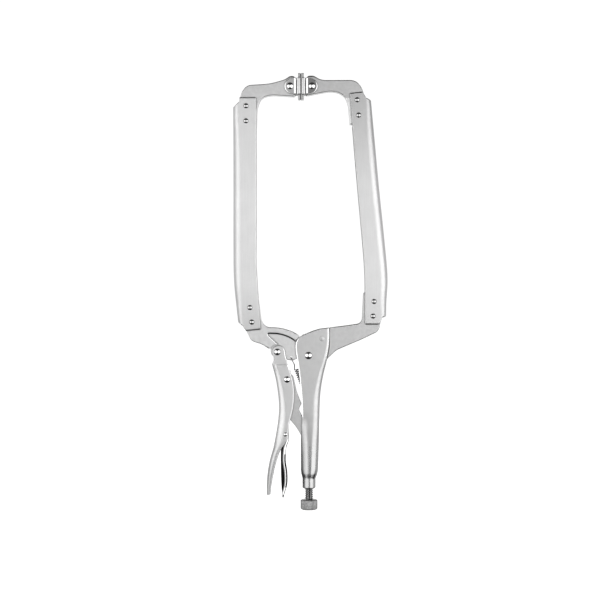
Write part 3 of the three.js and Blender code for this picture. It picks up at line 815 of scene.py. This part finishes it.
# Tube and neck: height, left, right, half thickness, squareness of the section, half of the slot.
TUBE = [
    (-330, 0.0, 18.7, 6.25, 3.4, 3.3), (-356, -1.5, 18.2, 6.6, 2.6, 2.4), (-375, -1.6, 17.8, 6.8, 2.1, 2.0),
    (-392, -1.4, 17.3, 6.9, 2.0, 1.7), (-402, -1.3, 16.9, 6.9, 2.0, 1.2),
    (-406, -0.8, 16.2, 6.75, 2.0, 0.6), (-410.3, 0.35, 14.75, 6.1, 2.0, 0.1),
    (-410.8, 0.45, 14.35, 6.0, 2.0, 0.05), (-420.4, 0.45, 14.35, 6.0, 2.0, 0.05),
    (-421.2, 1.1, 13.7, 5.7, 2.0, 0.05), (-421.5, 1.6, 13.2, 5.4, 2.0, 0.05),
]
TUBE_WALL = 2.7
SPRING_SLOT = 1.5
BORE = 4.55


def tube_skins(z, shares):
    """Outer and inner skins of the lower handle at a height; shares say how far round each point lies."""
    left, right, half, power, slot = (reader([(row[0], row[k]) for row in TUBE])(z) for k in range(1, 6))
    middle, skins = (left + right) / 2, []
    for wall in (0.0, TUBE_WALL):
        a, b = (right - left) / 2 - wall, half - wall
        if wall:
            narrow = smoothstep(NECK_START, NECK_FULL, z)
            a, b = a + (BORE - a) * narrow, b + (BORE - b) * narrow
        limit = math.pi - math.asin(min(1.0, (slot / b)) ** (power / 2))
        skin = []
        for share in shares:
            turn = limit * share
            c, s = math.cos(turn), math.sin(turn)
            x = middle + a * math.copysign(abs(c) ** (2 / power), c)
            skin.append((x, b * abs(s) ** (2 / power), z))
        skins.append(skin)
    return skins


def shares_along(line):
    """How far along the line each of its points lies, from 0 to 1."""
    lengths = [0.0]
    for p, q in zip(line, line[1:]):
        lengths.append(lengths[-1] + math.dist(p, q))
    return [length / lengths[-1] for length in lengths]


def fixed_handle():
    """Trough that closes into a tube with a threaded neck."""
    back, free = x_along(HANDLE_BACK), x_along(HANDLE_FREE)
    rings = channel_rings(
        HANDLE, back, free, reader(HANDLE_TOP), level_end(TUBE_FULL), -1, rim=(1.5, 0.9), end=(0.9, 0.9),
        step=2.5, swell=lambda z: smoothstep(SWELL_START, SWELL_FULL, z),
    )
    rings = [ring for ring in rings if ring[0][2] > TUBE_FULL + 0.8]
    quarter = len(rings[0]) // 4
    shares = shares_along(rings[-1][quarter : 2 * quarter])
    blended = []
    for ring in rings:
        z = ring[0][2]
        weight = smoothstep(TUBE_START, TUBE_FULL, z)
        tube = closed_ring(*tube_skins(z, shares))
        blended.append([Vector(p).lerp(Vector(q), weight) if weight else p for p, q in zip(ring, tube)])
    z = TUBE_FULL
    while z > TUBE[-1][0] + 1e-6:
        z = max(TUBE[-1][0], z - (1.2 if z > NECK_FOOT else 0.3))
        blended.append(closed_ring(*tube_skins(z, shares)))
    handle = bent_sheet(blended)
    tang_slot = HANDLE["half"] - HANDLE["wall"]
    combine(handle, block((14, -tang_slot, -285.8), (40, tang_slot, -240)), "DIFFERENCE")
    combine(handle, block((14.6, -SPRING_SLOT, -349), (22, SPRING_SLOT, -341.5)), "DIFFERENCE")

    # Painted highlight along the cheeks' free edges and on faces turned to +X near the top.
    def free_edge(middle, normal):
        rim = within(middle, x=(-FAR, free(middle.z) + 1.7), y=(4.6, FAR), z=(-346, FAR)) and normal.x < -0.2
        return rim or (within(middle, y=(3.5, FAR), z=(-286, FAR)) and normal.x > 0.5)

    piece(handle, "fixed_handle", "handle", COVER, others=((HIGHLIT_EDGE, free_edge),))


LEVER_BACK = [
    (-35.5, -270), (-31.7, -290.3), (-29.7, -298), (-26.8, -311), (-24.3, -332), (-25.0, -349),
    (-29.4, -375.5), (-34.1, -393), (-36.6, -410), (-37.0, -428), (-36.8, -436),
]
LEVER_FREE = [
    (-16, -280), (-15.0, -290.3), (-12.4, -298), (-9.0, -311), (-8.3, -325), (-9.6, -338), (-12.9, -352.5),
    (-14.0, -364), (-15.2, -370), (-18.7, -375.6), (-22.9, -382), (-26.4, -392), (-29.4, -404),
    (-31.6, -416), (-32.9, -425.6), (-33.4, -436),
]
LEVER_SHOULDER = -290.3
LEVER_SWELL = [(-380, 2.8), (-349, 2.2), (-323, 1.3), (-300, 0.7), (-290, 0.2)]
LEVER_EYE = {"radius": 6.7, "inner": 3.4, "outer": 4.85}


def hand_lever():
    """Trough that is open towards the handle, between flat eyes that straddle the jaw."""
    eye = LEVER_EYE["radius"]
    x, z = LEVER_PIVOT
    eyes = [
        (x - eye, z + eye, eye - 0.1), (x + eye, z + eye, eye - 0.5), (-17.2, -283, 14), (-12.4, -298),
        (-28.4, -298), (-29.9, LEVER_SHOULDER - 1), (-31.3, LEVER_SHOULDER, 1.0), (-29.7, -286.6, 2),
    ]
    middle = (LEVER_EYE["inner"] + LEVER_EYE["outer"]) / 2
    half = (LEVER_EYE["outer"] - LEVER_EYE["inner"]) / 2

    def edge(px, pz):
        share = smoothstep(LEVER_SHOULDER - 1.5, LEVER_SHOULDER + 1.5, pz)
        return (0.02 + 0.9 * share, 0.02 + 0.6 * share)

    def thinner(pz):
        share = smoothstep(LEVER_SHOULDER - 2.6, LEVER_SHOULDER - 0.6, pz)
        return (LEVER["half"] - LEVER_EYE["outer"]) * share

    rings = channel_rings(
        LEVER, x_along(LEVER_BACK), x_along(LEVER_FREE), level_end(LEVER_SHOULDER),
        reader([(0, -428.4), (2.5, -427.4)]), 1, rim=(1.5, 0.8), end=(0.7, 0.7), step=1.5, thinner=thinner,
        swell=reader(LEVER_SWELL),
    )
    lever = bent_sheet(rings)
    for y in (-middle, middle):
        combine(lever, plate(eyes, half, edge, middle=y), "UNION")

    # Painted highlight along the free edges of the eyes.
    def free_edge(middle, normal):
        return within(middle, y=(3.7, FAR), z=(-297, FAR)) and normal.x > 0.25

    piece(lever, "hand_lever", "lever", GRIP, others=((HIGHLIT_EDGE, free_edge),))


RELEASE_BACK = [
    (-13.4, -340), (-13.4, -368.5), (-16.2, -379), (-17.0, -392), (-15.3, -405), (-15.6, -418),
    (-20.0, -433),
]
RELEASE_FREE = [
    (-20.4, -340), (-20.6, -366), (-22.0, -378), (-22.2, -396), (-21.6, -417), (-20.6, -429), (-20.6, -433),
]
RELEASE_BLACK = 3.2  # from the back to the strip painted black as shade


def release_lever():
    """Small trough with a strip along the cheeks painted black as shade."""
    back = x_along(RELEASE_BACK)
    rings = channel_rings(
        RELEASE, back, x_along(RELEASE_FREE), level_end(-354), reader([(0, -431.2), (4, -428.9)]), -1,
        rim=(0.3, 0.3), end=(0.4, 0.4), breaks=(RELEASE_BLACK,), step=2.0,
    )

    # Painted black shade on the cheeks past the break, along part of the back's bend and at the bottom end.
    def black_shaded(middle, normal):
        u = back(middle.z) - middle.x
        recess = u > RELEASE_BLACK + 0.02 and middle.z > -427
        edge = u < 1.7 and -420 < middle.z < -386
        return recess or edge or middle.z < -429

    lever = bent_sheet(rings)
    piece(lever, "release_lever", "release", BRIGHT, others=((BLACK_SHADE, black_shaded),))


def center_link():
    """Flat bar from the hand lever to the tip of the screw."""
    eye = 6.0
    x, z = LINK_PIVOT
    corners = [
        (x - eye - 1.2, z + eye, eye - 0.1), (x + eye, z + eye, eye - 0.4), (-5.4, -319.6, 8),
        (-0.6, -332.6, 1.2), (-3.3, -338.4, 1.6), (-0.6, -344.2, 4), (9.6, -362, 12), (11.5, -379.2, 3.9),
        (3.3, -379.2, 3.9), (2.2, -371, 8), (-6, -357.4, 30), (-12.0, -349.9, 0.8), (-14.8, -336, 30),
    ]
    link = plate(corners, LINK, (0.7, 0.7))
    # Painted shade: the darker copy of the forging.
    piece(link, "center_link", "link", FORGED_SHADED)


# ------------------------------------------------------------------ pads, rivets, screw, spring

PAD_DEPTH = 16.3
PAD_EAR = 8.2
PAD_BRACKET = {"top": 8.9, "back": 3.35, "reach": 5.4}
PAD_CORE = {1: (1.0, 5.6), -1: (-3.0, -3.6)}
PAD_PLATE = {"front": -0.35, "back": 3.1, "top": 8.75, "half": 7.3}
PAD_TONGUE = {"back": 2.1, "top": 13.8, "half": 5.2}
PAD_TONGUE_FRONT = {1: -0.85, -1: -0.2}
PAD_SEAM = {"front": -0.98, "back": 0.5, "top": 13.4, "half": 4.2}
PAD_FACE = {"front": -0.98, "back": 0.5, "top": 8.0, "half": 6.2}


def swivel_pad(name, body, face, side, pinch):
    """Folded bracket with round ears, and the gripping plate with a tongue above and below.

    face is where the pad grips and side points from there to the jaw. pinch leans the ears inwards.
    """

    def upright(shape, edge):
        x = [face + side * shape["front"], face + side * shape["back"]]
        top = shape["top"]
        corners = [(x[0], -top, 0.5), (x[0], top, 0.5), (x[1], top, 0.5), (x[1], -top, 0.5)]
        return plate(corners, shape["half"], edge)

    def ear(z):
        return PAD_DEPTH - PAD_EAR + math.sqrt(max(0.0, PAD_EAR**2 - min(abs(z), PAD_EAR) ** 2))

    def free(z):
        corner = smoothstep(PAD_BRACKET["top"], PAD_EAR - 0.6, abs(z))
        reach = PAD_BRACKET["reach"] + 0.6
        return face + side * (reach + (ear(z) - reach) * corner)

    rings = channel_rings(
        PAD, lambda z: face + side * PAD_BRACKET["back"], free, level_end(PAD_BRACKET["top"]),
        level_end(-PAD_BRACKET["top"]), side, rim=(1.1, 0.8), end=(0.6, 0.6), step=0.45,
    )
    pad = bent_sheet(rings)
    for vertex in pad.data.vertices:
        reach = side * (vertex.co.x / MM - face) - PAD_BRACKET["reach"]
        if reach > 0:
            vertex.co.y -= math.copysign(pinch * reach * MM, vertex.co.y)
    combine(pad, upright(PAD_PLATE, (0.7, 0.7)), "UNION")
    core = [face + reach for reach in PAD_CORE[side]]
    combine(pad, block((core[0], -5.0, -6.0), (core[1], 5.0, 6.0)), "UNION")
    combine(pad, upright({"front": PAD_TONGUE_FRONT[side], **PAD_TONGUE}, (0.6, 0.6)), "UNION")
    combine(pad, upright(PAD_SEAM, (0.1, 0.1)), "UNION")
    combine(pad, upright(PAD_FACE, (0.3, 0.3)), "UNION")

    def depth(middle):
        return side * (middle.x - face)

    # Painted shade on the gripping faces, in the gap between the pads.
    def gripping(middle, normal):
        if abs(middle.z) > PAD_PLATE["top"]:
            return depth(middle) < 0.5 and abs(middle.y) < PAD_SEAM["half"] + 0.01
        return depth(middle) < PAD_PLATE["front"] - 0.02

    # Painted shadow on the underside of the bracket.
    def under(middle, normal):
        return normal.z < -0.35 and middle.z < -7.6 and 2.5 < depth(middle) < 6.5

    def plates(middle, normal):
        return abs(middle.z) < PAD_PLATE["top"] - 0.1 and 0 < depth(middle) < PAD_PLATE["back"]

    # Painted shade on the tongues above and below the plate.
    def tongues(middle, normal):
        return abs(middle.z) > PAD_PLATE["top"] - 0.2 and depth(middle) < PAD_PLATE["back"] + 0.1

    # Painted shade on the flat ears of the fixed pad.
    def ears(middle, normal):
        return side > 0 and depth(middle) > PAD_BRACKET["reach"] and abs(normal.y) > 0.99

    piece(
        pad, name, body, BRIGHT,
        others=((PLATE, plates), (TONGUE_SHADED, tongues), (EAR_SHADED, ears), (SHADE_DARK, under), (SHADE_DARK, gripping)),
    )


DOME_STEPS = 14
UNDERCUT = (0.12, 0.1)  # of the head's rim, in radius and along Y
SHANK = 0.7  # radius, as a share of the head's


def rivet(name, body, dome, material, widen=0.0, raised=0.0):
    """Rivet along Y with a domed head at each end, larger than the CAD node's by widen and raised."""
    low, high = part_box(name)
    head, tip = (high.x - low.x) / 2 / MM, high.y / MM
    under = tip - dome - UNDERCUT[1]
    head, tip, dome = head + widen, tip + raised, dome + raised
    ball = (head**2 + dome**2) / (2 * dome)
    limit = math.asin(min(1.0, head / ball))
    turns = [limit * k / DOME_STEPS for k in range(DOME_STEPS + 1)]
    cap = [(ball * math.sin(a), tip - ball * (1 - math.cos(a))) for a in turns]
    upper = cap + [(head - UNDERCUT[0], under), (head * SHANK, under)]
    profile = [(r, -y) for r, y in upper] + upper[::-1]
    piece(turned(profile, centre_of(name), 72), name, body, material)


def rivets():
    bright = (
        ("jaw_pivot_rivet", "handle", 1.5), ("lever_rivet", "movable_jaw", 1.3),
        ("link_rivet", "lever", 1.3), ("release_rivet", "lever", 0.9),
        ("fixed_pad_rivet", "handle", 1.3), ("movable_pad_rivet", "movable_jaw", 1.3),
    )
    for name, body, dome in bright:
        rivet(name, body, dome, BRIGHT)
    rivet("fixed_jaw_rivet", "handle", 0.25, COVER)
    for arm, body in (("fixed", "handle"), ("movable", "movable_jaw")):
        for k in range(1, 5):
            rivet(f"{arm}_arm_rivet_{k}", body, 0.7, BUTTON, widen=0.3, raised=0.5)


SCREW_RADIUS = 4.4
THREAD_PITCH = 2.2
THREAD_DEPTH = 0.75
SCREW_TIP = -384.5
KNOB_TOP, KNOB_BOTTOM, KNOB_RADIUS = -433.0, -443.5, 8.9
KNURLS = 44
KNURL_DEPTH = 0.38
SCREW_SHARP = math.radians(50)


def saw(share):
    """Wave from 1 down to 0 and back, once for each whole turn."""
    return abs(2 * (share % 1) - 1)


def adjusting_screw():
    """Threaded screw and its knurled knob, as one turned body."""
    sides = KNURLS * 6
    # Height, radius, and relief: the share of the thread's depth, or the knurling's where it is negative.
    levels = [(SCREW_TIP, SCREW_RADIUS - 1.3, 0.0), (SCREW_TIP - 1, SCREW_RADIUS, 0.3)]
    z = SCREW_TIP - 1
    while z > KNOB_TOP + 0.6:
        z -= THREAD_PITCH / 8
        levels.append((z, SCREW_RADIUS, 1.0))
    levels += [
        (KNOB_TOP + 0.2, SCREW_RADIUS - 0.4, 0.0), (KNOB_TOP, SCREW_RADIUS, 0.0),
        (KNOB_TOP, KNOB_RADIUS - 1.5, 0.0), (KNOB_TOP - 0.4, KNOB_RADIUS - 0.7, -0.3),
        (KNOB_TOP - 1.1, KNOB_RADIUS, -1.0), (KNOB_BOTTOM + 1.1, KNOB_RADIUS, -1.0),
        (KNOB_BOTTOM + 0.4, KNOB_RADIUS - 0.7, -0.3), (KNOB_BOTTOM, KNOB_RADIUS - 1.5, 0.0),
    ]
    points = []
    for z, radius, relief in levels:
        for k in range(sides):
            share = k / sides
            if relief > 0:
                here = radius - THREAD_DEPTH * relief * saw(z / THREAD_PITCH - share)
            else:
                here = radius + KNURL_DEPTH * relief * saw(share * KNURLS)
            a = 2 * math.pi * share
            points.append((SCREW_X + here * math.cos(a), here * math.sin(a), z))
    faces = strips(len(levels), sides)
    for first, z in ((0, SCREW_TIP), ((len(levels) - 1) * sides, KNOB_BOTTOM)):
        points.append((SCREW_X, 0, z))
        faces += fan(first, sides, len(points) - 1)

    def knurled(middle, normal):
        return middle.z < KNOB_TOP + 0.01

    screw = solid(points, faces)
    piece(screw, "adjusting_screw", "screw", DARK, SCREW_SHARP, ((KNURL, knurled),))


SPRING_TOP, SPRING_BOTTOM = Vector((-5.8, 0, -296.2)), Vector((9.4, 0, -336.6))
COIL_RADIUS, WIRE_RADIUS, COIL_TURNS, COIL_STEPS = 2.3, 0.5, 20, 16


def jaw_spring():
    """Extension spring with a straight hook to the jaw and a short one through the handle's back."""
    axis = (SPRING_BOTTOM - SPRING_TOP).normalized()
    side = Vector((0, 1, 0))
    other = axis.cross(side)
    x, z = SPRING_HOLE
    hook = smooth_line([(x, 3.4, z), (x, 0, z - 0.2), (x, -3.4, z - 0.1), (x + 1.4, -4.3, z - 3.4)], 6)
    lead = smooth_line([(x + 1.4, -4.3, z - 3.4), (-8.0, -3.4, -291.5), SPRING_TOP - other * COIL_RADIUS], 6)
    path = hook[:-1] + lead[:-1]
    steps = COIL_STEPS * COIL_TURNS
    for k in range(steps + 1):
        a = 2 * math.pi * k / COIL_STEPS + math.pi
        centre = SPRING_TOP.lerp(SPRING_BOTTOM, k / steps)
        path.append(centre + (other * math.cos(a) + side * math.sin(a)) * COIL_RADIUS)
    tail = [path[-1], Vector((10.6, 0, -339)), Vector((13.2, 0, -344.6)), Vector((16.8, 0, -345.6))]
    path += smooth_line(tail, 6)[1:]
    spring = wire(path, WIRE_RADIUS)
    piece(spring, "jaw_spring", None, WIRE)
    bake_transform(spring)


def build_clamp():
    jaw_tips()
    arms()
    fixed_jaw_base()
    movable_jaw_base()
    fixed_handle()
    hand_lever()
    release_lever()
    center_link()
    gap_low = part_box("movable_pad")[1].x / MM
    swivel_pad("fixed_pad", "pad_fixed", 0.0, 1, 0.0)
    swivel_pad("movable_pad", "pad_movable", gap_low, -1, 0.05)
    rivets()
    adjusting_screw()
    jaw_spring()


# ------------------------------------------------------------------ stage, light and camera

LIGHT_DISTANCE = 1.1


def softbox(name, azimuth, elevation, width, height, radiance, shape="ELLIPSE"):
    """Large plain light that faces the middle of the clamp. Azimuth 0 is in front, where -Y is."""
    middle = (CAD_LOW + CAD_HIGH) / 2
    a, e = math.radians(azimuth), math.radians(elevation)
    back = Vector((math.sin(a) * math.cos(e), -math.cos(a) * math.cos(e), math.sin(e)))
    light = bpy.data.lights.new(name, "AREA")
    light.shape = shape
    light.size, light.size_y = width, height
    area = width * height * (math.pi / 4 if shape == "ELLIPSE" else 1)
    light.energy = radiance * math.pi * area
    obj = placed(name, light)
    obj.location = middle + back * LIGHT_DISTANCE
    obj.rotation_euler = back.to_track_quat("Z", "Y").to_euler()
    obj.visible_camera = False


# Height from below (0) to overhead (1) and how bright the room is there.
ROOM = ((0.0, 0.02), (0.28, 0.03), (0.38, 0.62), (0.5, 0.66), (0.64, 0.62), (0.76, 0.05), (1.0, 0.03))


def surroundings():
    """Grey room that is dark overhead and under the front, with a paler wall and floor behind."""
    world = bpy.data.worlds.new("studio")
    bpy.context.scene.world = world
    tree = empty_tree(world)
    height = spread(tree, place_along(tree, "Z", "Generated"), 0.0, 1.0, -1.0, 1.0)
    ramp = node(tree, "ValToRGB", Fac=height)
    stops = ramp.color_ramp.elements
    while len(stops) < len(ROOM):
        stops.new(0.5)
    for stop, (position, level) in zip(stops, ROOM):
        stop.position = position
        stop.color = (level, level, level, 1)
    behind = spread(tree, place_along(tree, "Y", "Generated"), 0.0, 0.75, 0.05, 0.4)
    lower = spread(tree, place_along(tree, "Z", "Generated"), 1.0, 0.0, 0.2, 0.7)
    level = combined(tree, ramp.outputs["Color"], combined(tree, behind, lower), "MAXIMUM")
    front = spread(tree, place_along(tree, "Y", "Generated"), 0.68, 1.0, -0.985, -0.93)
    room = node(tree, "Background", Color=(1, 1, 1, 1), Strength=combined(tree, level, front))
    node(tree, "OutputWorld", Surface=room.outputs["Background"])


def floor_material():
    """Pale and matt, with a glow that keeps it white under the soft light."""
    material = bpy.data.materials.new("pale_floor")
    tree = empty_tree(material)
    speckle = spread(tree, noise(tree, 6, detail=2.0), 0.86, 0.9)
    matt = node(tree, "BsdfDiffuse", Color=speckle)
    glow = node(tree, "Emission", Strength=1.0)
    both = node(tree, "AddShader")
    tree.links.new(matt.outputs["BSDF"], both.inputs[0])
    tree.links.new(glow.outputs["Emission"], both.inputs[1])
    node(tree, "OutputMaterial", Surface=both.outputs["Shader"])
    return material


def backdrop_material():
    material = bpy.data.materials.new("white_backdrop")
    tree = empty_tree(material)
    glow = node(tree, "Emission", Strength=1.05)
    node(tree, "OutputMaterial", Surface=glow.outputs["Emission"])
    return material


FLOOR_RADIUS, BACKDROP_RADIUS = 12.0, 14.0
FLOOR_GAP = 0.0005


def stage_piece(name, material, create, **sizes):
    """Part of the stage that no reflection shows."""
    mesh = bpy.data.meshes.new(name)
    work = bmesh.new()
    create(work, **sizes)
    work.to_mesh(mesh)
    work.free()
    mesh.materials.append(material)
    obj = placed(name, mesh)
    obj.visible_glossy = False
    return obj


def stage():
    """Plain pale floor under the clamp, and a white backdrop all round that only the camera sees."""
    disc = {"cap_ends": True, "segments": 96, "radius": FLOOR_RADIUS}
    floor = stage_piece("floor", floor_material(), bmesh.ops.create_circle, **disc)
    floor.location.z = CAD_LOW.z - FLOOR_GAP
    ball = {"u_segments": 48, "v_segments": 24, "radius": BACKDROP_RADIUS}
    dome = stage_piece("backdrop", backdrop_material(), bmesh.ops.create_uvsphere, **ball)
    dome.visible_diffuse = False
    dome.visible_shadow = False


CAMERA_PLACE = (-0.00209, -1.4385, -0.2238)


def camera():
    """Level view along +Y."""
    data = bpy.data.cameras.new("camera")
    data.lens = 82.2
    data.sensor_width = 36
    data.clip_start, data.clip_end = 0.05, 60
    obj = placed("camera", data)
    obj.location = CAMERA_PLACE
    obj.rotation_euler = (math.pi / 2, 0, 0)
    bpy.context.scene.camera = obj


build_clamp()
surroundings()
softbox("key_left", -42, 1, width=1.22, height=1.56, radiance=1.10)
softbox("key_right", 38, 1, width=1.46, height=1.56, radiance=1.26)
softbox("back_wall", 180, 0, width=1.2, height=2.4, radiance=0.4, shape="RECTANGLE")
stage()
camera()
bpy.context.scene.view_settings.view_transform = "Standard"
